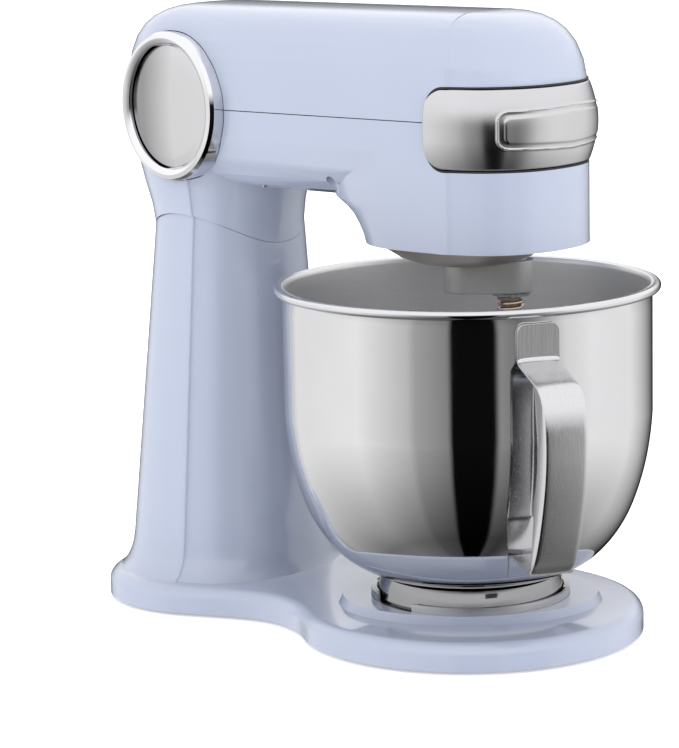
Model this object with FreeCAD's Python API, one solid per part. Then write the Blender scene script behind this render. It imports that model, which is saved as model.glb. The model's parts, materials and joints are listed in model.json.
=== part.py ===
"""Tilt-head stand mixer with a planetary drive, a twist-lock bowl and a pull-off nose band.

All shapes are built about the mixing axis (x = 0, y = 0), in millimetres, with z = 0 on the
worktop, the nose towards -Y and the column towards +Y.  Each piece is moved by MIX_Y when it is
written, so that the row's origin is under the middle of the whole machine.
"""
import FreeCAD, Part
import math
import os

Vec = FreeCAD.Vector
UP = Vec(0, 0, 1)
ACROSS = Vec(1, 0, 0)
FORWARD = Vec(0, -1, 0)

# ---- driving dimensions -------------------------------------------------------------------
MIX_Y = -58.3            # the mixing axis, measured from the middle of the machine
TOTAL_HEIGHT = 358.9

# base casting
SLAB_BOTTOM = 2.0
SLAB_TOP = 17.5
BASE_FRONT_R = 100.0
BASE_REAR_Y = 249.5
LOBE_HALF = 83.0
LOBE_Y = 177.0
LOBE_POWER = 0.86
SLAB_ROUND = 7.0
WALL = 4.5

# column: super-ellipses that shrink steadily with height
COLUMN_FOOT_Z = 21.0
COLUMN_HALF_X = 62.0
COLUMN_HALF_Y = 58.0
COLUMN_MID_Y = 185.0
COLUMN_TAPER = 0.0784
COLUMN_LEAN = 0.0245
FLARE_BEHIND = 0.45      # the foot's fillet is this much smaller in front and behind

# tilt hinge: the column's crown is part of a cylinder about the hinge pin
HINGE_Y = 180.0
HINGE_Z = 180.0
CROWN_R = 56.0
HINGE_PIN_R = 6.0
TONGUE_HALF = 12.0

# head shells
SEAM_Z = 300.6
SEAM_GAP = 0.5
HEAD_HALF = 55.0
HEAD_FRONT_Y = -14.0
HEAD_FRONT_LEN = 57.0
HEAD_REAR_Y = 181.0
HEAD_REAR_LEN = 56.0
ARM_BOTTOM = 251.5
NOSE_BOTTOM = 228.5
NOSE_REAR_R = 54.0
SHELL = 3.5

# nose band
BAND_LOW = 275.0
BAND_HIGH = 319.5
BAND_END_Y = -16.0
BAND_CROWN = 4.6
BAND_CORNER = 11.0

# round trim on both flanks of the head
SIDE_Y = 178.0
SIDE_Z = 300.6
SIDE_X = 52.5
SIDE_TURN = 10.0
SIDE_RING_R = 44.0
SIDE_DISC_R = 35.7

# drive train
MOTOR_Y = 165.0
MOTOR_R = 35.0
PINION_Y = 46.5
SPUR_MODULE = 1.5
PINION_TEETH = 14
MAIN_TEETH = 48
RING_MODULE = 1.25
RING_TEETH = 58
PLANET_TEETH = 18
PRESSURE_ANGLE = math.radians(20)
SMALL_PULLEY_R = 10.0
LARGE_PULLEY_R = 30.0
BELT_LOW = 336.0
BELT_HIGH = 344.0
PLANET_DIR = Vec(0.6408, -0.7675, 0)      # where the beater shaft stands at rest
PLANET_OFFSET = RING_MODULE * (RING_TEETH - PLANET_TEETH) / 2
SHAFT_R = 5.5
RUN = 0.05                                # radial running clearance
GAP = 0.3                                 # clearance between bodies that only pass each other

# bowl and its lock
BOWL_RIM_Z = 204.6
BOWL_R = 105.5
BOWL_WALL = 1.2
FOOT_Z = 22.0
SEAT_FLOOR_Z = 20.1
PAD_TOP_Z = 22.6
LUG_ANGLES = (-50.0, 130.0)
LUG_SWEEP = 24.0
HANDLE_DIR = Vec(-0.521, -0.854, 0)
HANDLE_WIDTH = 25.0
HANDLE_SHEET = 1.6


# ---- small helpers ------------------------------------------------------------------------
def box(x0, x1, y0, y1, z0, z1):
    return Part.makeBox(x1 - x0, y1 - y0, z1 - z0, Vec(x0, y0, z0))


def post(r, z0, z1, x=0.0, y=0.0):
    return Part.makeCylinder(r, z1 - z0, Vec(x, y, z0), UP)


def tube(r_out, r_in, z0, z1, x=0.0, y=0.0):
    return post(r_out, z0, z1, x, y).cut(post(r_in, z0 - 1, z1 + 1, x, y))


def rod_x(r, x0, x1, y, z):
    return Part.makeCylinder(r, x1 - x0, Vec(x0, y, z), ACROSS)


def union(shapes):
    first = shapes[0]
    return first.fuse(list(shapes[1:])).removeSplitter() if len(shapes) > 1 else first


def curve(points, start, end):
    spline = Part.BSplineCurve()
    spline.interpolate(Points=points, InitialTangent=start, FinalTangent=end)
    return spline.toShape()


def loft(wires):
    """Solid skinned straight from each outline to the next."""
    return Part.makeLoft(wires, True, True)


def turned(profile):
    """Solid of revolution about the local z axis from (radius, height) pairs."""
    corners = [Vec(r, 0, z) for r, z in profile]
    wire = Part.makePolygon(corners + corners[:1])
    return Part.Face(wire).revolve(Vec(0, 0, 0), UP, 360)


def plan_wire(z, half, front_y, front_len, rear_y, rear_len, power=2.3):
    """Closed outline seen from above: two super-elliptic ends joined by straight flanks."""
    steps = [math.radians(a) for a in (90, 76, 62, 48, 34, 20, 8, 0)]
    arc = [(math.cos(a) ** (2 / power), math.sin(a) ** (2 / power)) for a in steps[1:-1]]
    right = [(1.0, 0.0)] + [(s, c) for c, s in arc] + [(0.0, 1.0)]
    sweep = right + [(-x, y) for x, y in reversed(right[:-1])]
    front = [Vec(half * x, front_y - front_len * y, z) for x, y in sweep]
    rear = [Vec(-half * x, rear_y + rear_len * y, z) for x, y in sweep]
    edges = [
        curve(front, Vec(0, -1, 0), Vec(0, 1, 0)),
        Part.makeLine(front[-1], rear[0]),
        curve(rear, Vec(0, 1, 0), Vec(0, -1, 0)),
        Part.makeLine(rear[-1], front[0]),
    ]
    return Part.Wire(edges)


def ellipse_wire(z, half_x, half_y, mid_y, power=2.15):
    """Closed super-ellipse outline centred on x = 0."""
    return plan_wire(z, half_x, mid_y - 0.5, half_y - 0.5, mid_y + 0.5, half_y - 0.5, power)


def screw(x, y, z_head, length, r=1.6, head_r=3.2, head_h=2.2, upward=True):
    """A plain pan-head screw; its head is at z_head and its shank runs up or down from it."""
    sign = 1 if upward else -1
    head = Part.makeCylinder(head_r, head_h, Vec(x, y, z_head), Vec(0, 0, -sign))
    slot = box(x - head_r, x + head_r, y - 0.4, y + 0.4, z_head - sign * head_h - 0.5,
               z_head - sign * head_h + 0.5)
    shank = Part.makeCylinder(r, length, Vec(x, y, z_head), Vec(0, 0, sign))
    return head.cut(slot).fuse(shank)


def involute(angle):
    return math.tan(angle) - angle


def gear_face(teeth, module, addendum, dedendum, fill, turn, z):
    """Flat involute gear outline.  fill is the tooth's share of its pitch, turn is in radians."""
    pitch_r = teeth * module / 2
    base_r = pitch_r * math.cos(PRESSURE_ANGLE)
    root_r = pitch_r - dedendum * module
    tip_r = pitch_r + addendum * module
    half_pitch = math.pi * fill / teeth
    points = []
    for tooth in range(teeth):
        centre = turn + 2 * math.pi * tooth / teeth
        flank = []
        for share in (0.0, 0.45, 0.75, 1.0):
            r = root_r + (tip_r - root_r) * share
            lean = involute(math.acos(min(1.0, base_r / r)))
            flank.append((r, half_pitch + involute(PRESSURE_ANGLE) - lean))
        points += [(r, centre - a) for r, a in flank]
        points += [(r, centre + a) for r, a in reversed(flank)]
    corners = [Vec(r * math.cos(a), r * math.sin(a), z) for r, a in points]
    return Part.Face(Part.makePolygon(corners + corners[:1]))


def gear(teeth, module, z0, z1, turn=0.0, addendum=0.9, dedendum=1.15, fill=0.46):
    face = gear_face(teeth, module, addendum, dedendum, fill, turn, z0)
    return face.extrude(Vec(0, 0, z1 - z0))


def bearing(r_out, r_in, z0, z1, x=0.0, y=0.0):
    """Ball bearing as one closed ring with shallow shield recesses on both faces."""
    ring = tube(r_out, r_in, z0, z1, x, y)
    width = (r_out - r_in) / 4
    for low, high in ((z0 - 1, z0 + 0.5), (z1 - 0.5, z1 + 1)):
        ring = ring.cut(tube(r_out - width, r_in + width, low, high, x, y))
    return ring


# ---- base: casting, plate, feet, bowl lock ------------------------------------------------
def base_outline(inset, z):
    """Outline of the base: a round bowl end, a waist, and a rear lobe under the column."""
    front = []
    for turn in range(-90, -212, -11):
        x, y = polar(BASE_FRONT_R - inset, turn)
        front.append(Vec(x, y, z))
    waist = [Vec(x + inset, y, z) for x, y in ((-74.5, 66.5), (-65.8, 83), (-61.8, 105),
                                               (-67.5, 129), (-77, 153))]
    lobe = []
    for turn in (0, 18, 36, 54, 72, 90):
        share = math.radians(turn)
        lobe.append(Vec(-(LOBE_HALF - inset) * math.cos(share) ** LOBE_POWER,
                        LOBE_Y + (BASE_REAR_Y - LOBE_Y - inset) * math.sin(share) ** LOBE_POWER,
                        z))
    half = front + waist + lobe
    spline = Part.BSplineCurve()
    spline.interpolate(Points=half + [Vec(-p.x, p.y, p.z) for p in reversed(half[1:-1])],
                       PeriodicFlag=True)
    return Part.Wire([spline.toShape()])


def column_sizes(z):
    rise = z - COLUMN_FOOT_Z
    return (COLUMN_HALF_X - COLUMN_TAPER * rise, COLUMN_HALF_Y - COLUMN_TAPER * rise,
            COLUMN_MID_Y - COLUMN_LEAN * rise)


def column_solid(inset, z_low, z_high, flare):
    """Tapering column; flare adds the round fillet where it grows out of the base."""
    wires = []
    heights = [z_low] + [z for z in (18, 19.5, 21.5, 24, 27, 31, 37) if z > z_low] + [z_high]
    for z in heights:
        half_x, half_y, mid_y = column_sizes(z)
        rise = min(1.0, max(0.0, (z - SLAB_TOP + 1) / 20))
        grow = flare * (1 - math.sqrt(1 - (1 - rise) ** 2)) - inset
        behind = flare * FLARE_BEHIND * (1 - math.sqrt(1 - (1 - rise) ** 2)) - inset
        wires.append(ellipse_wire(z, half_x + grow, half_y + behind, mid_y))
    return loft(wires)


def crown(r, low):
    """Everything the tilting head may not reach: a round crown over a block."""
    barrel = rod_x(r, -90, 90, HINGE_Y, HINGE_Z)
    return barrel.fuse(box(-90, 90, HINGE_Y - 90, HINGE_Y + 90, low, HINGE_Z))


def lock_pad(z0, z1, grow):
    """Raised lozenge round the bowl lock, long axis through the two lugs."""
    ellipse = Part.Ellipse(Vec(0, 0, z0), 77.0 + grow, 59.5 + grow).toShape()
    top = Part.Ellipse(Vec(0, 0, z1), 74.0 + grow, 58.5 + grow).toShape()
    pad = loft([Part.Wire([ellipse]), Part.Wire([top])])
    pad.rotate(Vec(0, 0, 0), UP, LUG_ANGLES[0])
    return pad


def make_slab():
    """Base slab with a rounded upper edge."""
    shoulder = SLAB_TOP - SLAB_ROUND
    straight = Part.Face(base_outline(0, SLAB_BOTTOM)).extrude(Vec(0, 0, shoulder - SLAB_BOTTOM))
    wires = []
    for turn in (0, 15, 30, 45, 60, 75, 88):
        a = math.radians(turn)
        wires.append(base_outline(SLAB_ROUND * (1 - math.cos(a)),
                                  shoulder + SLAB_ROUND * math.sin(a)))
    return straight.fuse(loft(wires))


def make_pedestal():
    slab = make_slab()
    column = column_solid(0, SLAB_TOP - 3, 237, 13.0).common(crown(CROWN_R, 0))
    outer = slab.fuse(column).fuse(lock_pad(SLAB_TOP - 1, PAD_TOP_Z, 0))
    pocket = Part.Face(base_outline(WALL, 0)).extrude(Vec(0, 0, SLAB_TOP - WALL))
    pocket = pocket.cut(tube(62, 58, PLATE_TOP, SLAB_TOP))
    pocket = pocket.fuse(post(58, 0, SEAT_FLOOR_Z - WALL))
    inside = column_solid(WALL, 5, 236, 0).common(crown(CROWN_R - WALL, 0))
    body = outer.cut(pocket).cut(inside)
    for side in (-1, 1):
        reach = sorted((side * (TONGUE_HALF + 2), side * 47))
        body = body.fuse(rod_x(12, reach[0], reach[1], HINGE_Y, HINGE_Z))
    body = body.cut(rod_x(HINGE_PIN_R, -43, 43, HINGE_Y, HINGE_Z))
    body = body.cut(box(-TONGUE_HALF - 2, TONGUE_HALF + 2, 144.5, 217.5, 186, 245))
    body = body.cut(post(57.8, SEAT_FLOOR_Z, 40))
    body = body.cut(Part.makeCylinder(INLET_R, 30, Vec(0, 225, INLET_Z), Vec(0, 1, 0)))
    body = body.cut(Part.makeCylinder(9.8, 20, Vec(0, inlet_y(), INLET_Z), Vec(0, 1, 0)))
    for x, y in PLATE_SCREWS:
        body = body.fuse(post(5.0, PLATE_TOP, SLAB_TOP - WALL + 1, x, y))
        body = body.cut(post(1.6, 4, 12.5, x, y))
    for angle in SEAT_SCREW_ANGLES:
        x, y = polar(38, angle)
        body = body.cut(post(1.6, SEAT_FLOOR_Z - WALL - 1, SEAT_FLOOR_Z + 1, x, y))
    body = body.cut(catch_plate(0.2)).cut(post(3.0, 215, 235, LATCH_X, LATCH_Y))
    return body


def polar(r, degrees):
    return r * math.cos(math.radians(degrees)), r * math.sin(math.radians(degrees))


PLATE_SCREWS = [(-72, 40), (72, 40), (-52, -66), (52, -66), (-66, 178), (66, 178)]
FOOT_PLACES = [(-80, -8), (80, -8), (0, -80), (-58, 205), (58, 205)]
SEAT_SCREW_ANGLES = (40, 130, 220, 310)
PLATE_BOTTOM = 2.6
PLATE_TOP = 4.6


def make_bottom_plate():
    plate = Part.Face(base_outline(WALL + 0.3, PLATE_BOTTOM))
    plate = plate.extrude(Vec(0, 0, PLATE_TOP - PLATE_BOTTOM))
    for x, y in PLATE_SCREWS:
        plate = plate.cut(post(1.7, 2, 5, x, y))
    for x, y in FOOT_PLACES:
        plate = plate.cut(post(4.0, 2, 5, x, y))
    for row in range(5):
        plate = plate.cut(box(-22, 22, 150 + 12 * row, 155 + 12 * row, 2, 5))
    return plate


def make_feet():
    feet = []
    for x, y in FOOT_PLACES:
        pad = turned([(0, 0), (8.6, 0), (10, 1.4), (10, 2.6), (4, 2.6), (4, 4.6), (5, 4.9),
                      (3.4, 6.6), (0, 6.6)])
        pad.translate(Vec(x, y, 0))
        feet.append(pad)
    return Part.makeCompound(feet)


def make_plate_screws():
    return Part.makeCompound([screw(x, y, 2.6, 9.0, head_h=1.6) for x, y in PLATE_SCREWS])


def sector(r_out, r_in, z0, z1, middle, sweep):
    ring = Part.makeCylinder(r_out, z1 - z0, Vec(0, 0, z0), UP, sweep)
    ring = ring.cut(post(r_in, z0 - 1, z1 + 1))
    ring.rotate(Vec(0, 0, 0), UP, middle - sweep / 2)
    return ring


def make_bowl_seat():
    """Steel lock plate: a dished ring with two hooks that stand over the bowl's lugs."""
    plate = post(57.6, SEAT_FLOOR_Z, SEAT_FLOOR_Z + 1.6).cut(post(14, 0, 30))
    wall = tube(57.6, 56.0, SEAT_FLOOR_Z, 27.2)
    seat = plate.fuse(wall)
    for angle in LUG_ANGLES:
        seat = seat.fuse(sector(57.4, 54.3, 25.7, 27.2, angle, LUG_SWEEP + 4))
        seat = seat.cut(sector(60, 52, 22.5, 30, angle + LUG_SWEEP + 12, LUG_SWEEP + 8))
    for angle in SEAT_SCREW_ANGLES:
        x, y = polar(38, angle)
        seat = seat.cut(post(1.7, SEAT_FLOOR_Z - 1, SEAT_FLOOR_Z + 3, x, y))
    return seat


def make_seat_screws():
    top = SEAT_FLOOR_Z + 1.6
    places = [polar(38, angle) for angle in SEAT_SCREW_ANGLES]
    return Part.makeCompound([screw(x, y, top, 6.5, head_h=1.5, upward=False)
                              for x, y in places])


def make_hinge_pin():
    return rod_x(HINGE_PIN_R, -42.8, 42.8, HINGE_Y, HINGE_Z)


def catch_plate(grow):
    plate = rod_x(CROWN_R + grow, 0, 40, HINGE_Y, HINGE_Z)
    plate = plate.cut(rod_x(CROWN_R - 1.5 - grow, -1, 41, HINGE_Y, HINGE_Z))
    return plate.common(box(LATCH_X - 4 - grow, LATCH_X + 5 + grow, LATCH_Y - 5 - grow,
                            LATCH_Y + 8 + grow, 200, 240))


def make_lock_catch():
    """Curved steel strike plate let into the rear of the crown, with the latch pin's hole."""
    return catch_plate(0).cut(post(2.9, 200, 240, LATCH_X, LATCH_Y))


LATCH_X = 18.6
LATCH_Y = 204.0


INLET_R = 7.0
INLET_Z = 42.0


def inlet_y():
    """Where the column's rear face stands at the height of the mains inlet."""
    _, half_y, mid_y = column_sizes(INLET_Z)
    return mid_y + half_y + 0.3


def make_cord_bush():
    """Rubber inlet bush in the rear of the column, open for a mains lead."""
    bush = turned([(4, -9), (6.9, -9), (6.9, 0), (9.5, 0), (9.5, 2.5), (7, 4), (4, 4)])
    bush.rotate(Vec(0, 0, 0), ACROSS, -90)
    bush.translate(Vec(0, inlet_y(), INLET_Z))
    return bush


# ---- head shells ----------------------------------------------------------------------------
def head_level(z, inset=0.0):
    """Half width, front length and rear length of the head at height z."""
    if z >= SEAM_Z:
        share = min(0.9985, (z - SEAM_Z) / (TOTAL_HEIGHT - inset - SEAM_Z))
        flank, ends = 4.0, 2.7
    else:
        share = min(0.995, (SEAM_Z - z) / (SEAM_Z - ARM_BOTTOM - inset))
        flank, ends = 3.0, 5.0
    half = (HEAD_HALF - inset) * (1 - share ** flank) ** (1 / flank)
    stretch = (1 - share ** ends) ** (1 / ends)
    return half, (HEAD_FRONT_LEN - inset) * stretch, (HEAD_REAR_LEN - inset) * stretch


def head_wire(z, inset=0.0):
    half, front, rear = head_level(z, inset)
    return plan_wire(z, half, HEAD_FRONT_Y, front, HEAD_REAR_Y, rear)


UPPER_STEPS = (0.0, 0.3, 0.52, 0.68, 0.8, 0.88, 0.94, 0.975, 0.992, 0.998)
LOWER_STEPS = (0.0, 0.35, 0.6, 0.78, 0.9, 0.97, 0.992)


def upper_solid(inset, low):
    span = TOTAL_HEIGHT - inset - SEAM_Z
    return loft([head_wire(low, inset)] +
                [head_wire(SEAM_Z + span * s, inset) for s in UPPER_STEPS[1:]])


def arm_solid(inset, high):
    span = SEAM_Z - ARM_BOTTOM - inset
    return loft([head_wire(high, inset)] +
                [head_wire(SEAM_Z - span * s, inset) for s in LOWER_STEPS[1:]])


def nose_solid(inset, high):
    """Nose around the planetary drive; its rear wall sweeps out into the arm's underside."""
    levels = ((NOSE_BOTTOM - 0.5, 54.0), (233, 56.0), (239, 60.0), (244, 64.5), (248, 70.0),
              (253, 80.0), (high, 92.0))
    wires = []
    for z, rear in levels:
        wires.append(plan_wire(z, HEAD_HALF - inset, HEAD_FRONT_Y, HEAD_FRONT_LEN - inset,
                               0, rear - inset, 2.3))
    return loft(wires).common(box(-70, 70, -90, 60 + 40, NOSE_BOTTOM, high))


def neck_solid(inset, high):
    """Neck between the arm and the column's crown."""
    levels = ((214, 46.9, 42.6, 180.2), (228, 45.9, 41.8, 180.0), (240, 47.2, 43.6, 180.4),
              (252, 49.4, 47.2, 180.8), (266, 51.8, 51.2, 181.0), (high, 53.6, 54.6, 181.0))
    return loft([ellipse_wire(z, a - inset, b - inset, y) for z, a, b, y in levels])


def side_placed(shape, side):
    """Move a piece built on the local z axis to the round trim on one flank of the head."""
    lean = math.radians(SIDE_TURN)
    normal = Vec(side * math.cos(lean), math.sin(lean), 0)
    shape.Placement = FreeCAD.Placement(Vec(side * SIDE_X, SIDE_Y, SIDE_Z),
                                        FreeCAD.Rotation(UP, normal)).multiply(shape.Placement)
    return shape


def side_pocket(side):
    return side_placed(post(SIDE_RING_R + 0.3, -9.5, 30), side)


SCREW_BOSSES = [(-43, 62), (43, 62), (-30, 217.5), (30, 217.5)]
PORT_Z = 297.2
PORT_R = 17.0
MOTOR_POSTS = [(-28, 127), (28, 127), (-30, 203), (30, 203)]


def port_hole():
    return Part.makeCylinder(PORT_R, 40, Vec(0, -50, PORT_Z), FORWARD)


def make_top_cover():
    shell = upper_solid(0, SEAM_Z).cut(upper_solid(SHELL, SEAM_Z - 1))
    for x, y in SCREW_BOSSES:
        stem = post(5, SEAM_Z, 356, x, y).common(upper_solid(1.0, SEAM_Z))
        shell = shell.fuse(stem).cut(post(1.6, SEAM_Z - 1, SEAM_Z + 14, x, y))
    shell = shell.cut(box(-80, 80, -90, 260, SEAM_Z - 5, SEAM_Z + SEAM_GAP / 2))
    for side in (-1, 1):
        shell = shell.cut(side_pocket(side))
    return shell.cut(port_hole()).cut(band_recess())


def make_head_casting():
    outer = arm_solid(0, SEAM_Z).fuse(nose_solid(0, SEAM_Z - 2)).fuse(neck_solid(0, SEAM_Z - 2))
    cavity = arm_solid(SHELL, SEAM_Z + 1).fuse(nose_solid(SHELL, SEAM_Z + 1).fuse(
        neck_solid(SHELL + 0.5, SEAM_Z + 1)))
    cavity = cavity.fuse(post(NOSE_REAR_R - SHELL, NOSE_BOTTOM - 2, NOSE_BOTTOM + 4))
    cavity = cavity.cut(crown(CROWN_R + 4.5, 150))
    body = outer.cut(cavity)
    deck = nose_solid(SHELL - 1, SEAM_Z - 2).common(box(-60, 60, -80, 62, 244, 248))
    body = body.fuse(deck)
    body = body.fuse(post(19, 244, 254)).fuse(post(12.5, 244, 254, 0, PINION_Y))
    for x, y in SCREW_BOSSES:
        body = body.fuse(post(5, 246, SEAM_Z, x, y).common(outer))
    for x, y in MOTOR_POSTS:
        body = body.fuse(post(5.5, 236, 262, x, y).common(outer))
    for low, high in ((-14.2, -10.2), (10.2, 14.2)):
        body = body.fuse(box(low, high, 214, 227, 249, 262))
    body = body.cut(crown(CROWN_R + GAP, 100))
    body = body.fuse(tongue())
    body = body.cut(box(-80, 80, -90, 260, SEAM_Z - SEAM_GAP / 2, SEAM_Z + 5))
    body = body.cut(post(13, 246, 260)).cut(post(9, 240, 250))
    body = body.cut(post(8, 246, 260, 0, PINION_Y))
    for x, y in SCREW_BOSSES:
        body = body.cut(post(1.7, 220, SEAM_Z, x, y)).cut(post(3.7, 220, SCREW_SEAT_Z, x, y))
    for x, y in MOTOR_POSTS:
        body = body.cut(post(1.6, 250, 263, x, y))
    for side in (-1, 1):
        body = body.cut(side_pocket(side))
    for angle in RING_SCREW_ANGLES:
        x, y = polar(40.5, angle)
        body = body.cut(post(1.3, 243, 249, x, y))
    body = body.cut(box(-10, 10, 222, 250, 246.5, 266))
    body = body.cut(box(LATCH_X - 3.2, LATCH_X + 3.2, LATCH_Y - 6.5, LATCH_Y + 3.2, 215, 245))
    body = body.cut(rod_x(2.0, -13.4, 13.4, LEVER_PIVOT_Y, LEVER_PIVOT_Z))
    return body.cut(port_hole()).cut(band_recess())


SCREW_SEAT_Z = 272.0
RING_SCREW_ANGLES = (0, 60, 120, 180, 240, 300)
LEVER_PIVOT_Y = 221.0
LEVER_PIVOT_Z = 256.0
LEVER_END_Y = 243.5


def tongue():
    """Knuckle that reaches through the crown's slot and carries the hinge bushes."""
    reach = CROWN_R + 4
    neck = box(-TONGUE_HALF, TONGUE_HALF, HINGE_Y - 31, HINGE_Y - 6, HINGE_Z + 4, HINGE_Z + reach)
    eye = rod_x(15, -TONGUE_HALF, TONGUE_HALF, HINGE_Y, HINGE_Z)
    knuckle = neck.common(crown(reach, 100)).fuse(eye)
    return knuckle.cut(rod_x(8.5, -30, 30, HINGE_Y, HINGE_Z))


def make_hinge_bushes():
    bushes = []
    for side in (-1, 1):
        low, high = sorted((side * 0.5, side * (TONGUE_HALF + 1.2)))
        sleeve = rod_x(8.5, low, high, HINGE_Y, HINGE_Z)
        low, high = sorted((side * TONGUE_HALF, side * (TONGUE_HALF + 1.2)))
        collar = rod_x(11, low, high, HINGE_Y, HINGE_Z)
        bore = rod_x(HINGE_PIN_R + RUN, -30, 30, HINGE_Y, HINGE_Z)
        bushes.append(sleeve.fuse(collar).cut(bore))
    return Part.makeCompound(bushes)


def make_cover_screws():
    return Part.makeCompound([screw(x, y, SCREW_SEAT_Z, SEAM_Z + 12 - SCREW_SEAT_Z)
                              for x, y in SCREW_BOSSES])


# ---- nose band and attachment port ----------------------------------------------------------
def nose_layer(offset, z):
    return plan_wire(z, HEAD_HALF + offset, HEAD_FRONT_Y, HEAD_FRONT_LEN + offset,
                     HEAD_FRONT_Y + 40, 30 + offset)


def band_profile(grow):
    """Rounded window on the nose, extruded across the head."""
    y1 = BAND_END_Y + grow
    low, high, r = BAND_LOW - grow, BAND_HIGH + grow, BAND_CORNER + grow
    body = box(-80, 80, -100, y1, low, high)
    corners = [e for e in body.Edges if abs(e.CenterOfMass.y - y1) < 0.01
               and e.BoundBox.XLength > 100]
    return body.makeFillet(r, corners)


def band_pillow(offset):
    """Nose outline swollen into the band's crowned section."""
    middle = (BAND_LOW + BAND_HIGH) / 2
    half = (BAND_HIGH - BAND_LOW) / 2
    wires = []
    for share in (-1.1, -0.95, -0.75, -0.5, -0.25, 0, 0.25, 0.5, 0.75, 0.95, 1.1):
        swell = offset + BAND_CROWN * max(0.0, 1 - share * share)
        wires.append(nose_layer(swell, middle + half * share))
    return loft(wires)


def band_recess():
    """Shallow seat cut into both shells behind the band and its gasket."""
    ring = loft([nose_layer(12, 260), nose_layer(12, 335)])
    ring = ring.cut(loft([nose_layer(-2.6, 259), nose_layer(-2.6, 336)]))
    return ring.common(band_profile(1.3))


def make_nose_band():
    return band_pillow(0.4).cut(band_pillow(-1.0)).common(band_profile(0))


def make_band_gasket():
    sheet = loft([nose_layer(-0.2, 260), nose_layer(-0.2, 335)])
    sheet = sheet.cut(loft([nose_layer(-2.6, 259), nose_layer(-2.6, 336)]))
    frame = sheet.common(band_profile(1.2)).cut(band_profile(0.35))
    backing = loft([nose_layer(-1.6, 260), nose_layer(-1.6, 335)])
    backing = backing.cut(loft([nose_layer(-2.6, 259), nose_layer(-2.6, 336)]))
    gasket = frame.fuse(backing.common(band_profile(1.2)).cut(band_profile(-5)))
    return gasket


def make_port_socket():
    """Attachment socket behind the nose band, with a plain bore and a mounting flange."""
    socket = Part.makeCylinder(PORT_R - 0.3, 32, Vec(0, -36, PORT_Z), FORWARD)
    flange = Part.makeCylinder(21.0, 4, Vec(0, -36, PORT_Z), FORWARD)
    socket = socket.fuse(flange)
    return socket.cut(Part.makeCylinder(12.7, 26, Vec(0, -43, PORT_Z), FORWARD))


# ---- round trim, dial and switch ------------------------------------------------------------
def make_side_ring(side):
    ring = turned([(36.4, -9), (SIDE_RING_R, -9), (SIDE_RING_R, 1.5), (42.6, 3.6), (40.2, 4.4),
                   (37.6, 3.2), (36.8, 2.2)])
    back = turned([(14, -9), (36.8, -9), (36.8, -7.4), (14, -7.4)])
    return side_placed(ring.fuse(back), side)


def make_side_disc():
    disc = turned([(0, -7.4), (SIDE_DISC_R, -7.4), (SIDE_DISC_R, 0.2), (30, 1.5), (20, 2.8),
                   (10, 3.5), (0, 3.7)])
    return side_placed(disc, -1)


def make_dial_plate():
    plate = turned([(6.2, -7.4), (SIDE_DISC_R, -7.4), (SIDE_DISC_R, 0.2), (31, 1.0), (6.2, 1.0)])
    return side_placed(plate, 1)


def make_speed_dial():
    knob = turned([(0, 1.4), (21.0, 1.4), (20.4, 13.6), (18.6, 15.2), (9, 16.4), (0, 16.8)])
    for index in range(24):
        groove = post(1.1, 3, 14, *polar(21.4, 15 * index))
        knob = knob.cut(groove)
    knob = knob.fuse(box(-1.2, 1.2, 8, 19, 14, 17.2))
    return side_placed(knob.cut(post(3.0, -2, 10)), 1)


def make_dial_shaft():
    return side_placed(post(3.0, -11.0, 10.0), 1)


def make_speed_switch():
    body = box(-11, 11, -11, 11, -16.5, -9.4).cut(post(3.0 + RUN, -14, -9))
    collar = tube(6.0, 3.0 + RUN, -9.4, -2.0)
    return side_placed(body.fuse(collar), 1)


# ---- motor and belt -------------------------------------------------------------------------
def make_motor_mount():
    plate = box(-36, 36, 119, 209, 262, 265.5)
    for x, y in MOTOR_POSTS:
        plate = plate.cut(post(1.7, 261, 267, x, y))
    upright = box(-14, 14, 204, 207, 265.5, 292)
    return plate.fuse(upright).cut(post(9, 261, 267, 0, MOTOR_Y))


def make_motor_can():
    can = tube(MOTOR_R, MOTOR_R - 2, 270, 326, 0, MOTOR_Y)
    floor = post(MOTOR_R, 265.5, 270, 0, MOTOR_Y).cut(post(8, 260, 275, 0, MOTOR_Y))
    can = can.fuse(floor)
    for index in range(8):
        x, y = polar(MOTOR_R, 22.5 + 45 * index)
        can = can.cut(box(x - 3.5, x + 3.5, MOTOR_Y + y - 3.5, MOTOR_Y + y + 3.5, 274, 284))
    return can


def make_stator():
    return tube(MOTOR_R - 2, 23.5, 288, 314, 0, MOTOR_Y)


def make_end_bell():
    bell = post(MOTOR_R, 326, 329, 0, MOTOR_Y).fuse(post(11, 318, 331, 0, MOTOR_Y))
    return bell.cut(post(8, 317, 328.5, 0, MOTOR_Y)).cut(post(5, 316, 335, 0, MOTOR_Y))


def make_rotor_core():
    core = post(22.8, 289, 313, 0, MOTOR_Y)
    for index in range(12):
        x, y = polar(22.0, 30 * index)
        core = core.cut(post(2.0, 288, 314, x, MOTOR_Y + y))
    core = core.fuse(post(16, 284, 316.5, 0, MOTOR_Y))
    return core.cut(post(4, 280, 320, 0, MOTOR_Y))


def make_commutator():
    bars = tube(10, 4, 273, 283, 0, MOTOR_Y)
    for index in range(12):
        x, y = polar(10.0, 15 + 30 * index)
        bars = bars.cut(post(0.6, 272, 284, x, MOTOR_Y + y))
    return bars


def make_brushes():
    pair = [box(low, high, MOTOR_Y - 2.5, MOTOR_Y + 2.5, 275, 281)
            for low, high in ((-32.8, -10.4), (10.4, 32.8))]
    return Part.makeCompound(pair)


def make_motor_shaft():
    return post(4, 264, 347, 0, MOTOR_Y)


def pulley(r, bore, y):
    drum = post(r, BELT_LOW - 2, BELT_HIGH + 2, 0, y)
    groove = tube(r + 1, r - 1.5, BELT_LOW - 0.3, BELT_HIGH + 0.3, 0, y)
    return drum.cut(groove).cut(post(bore, 300, 360, 0, y))


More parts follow.
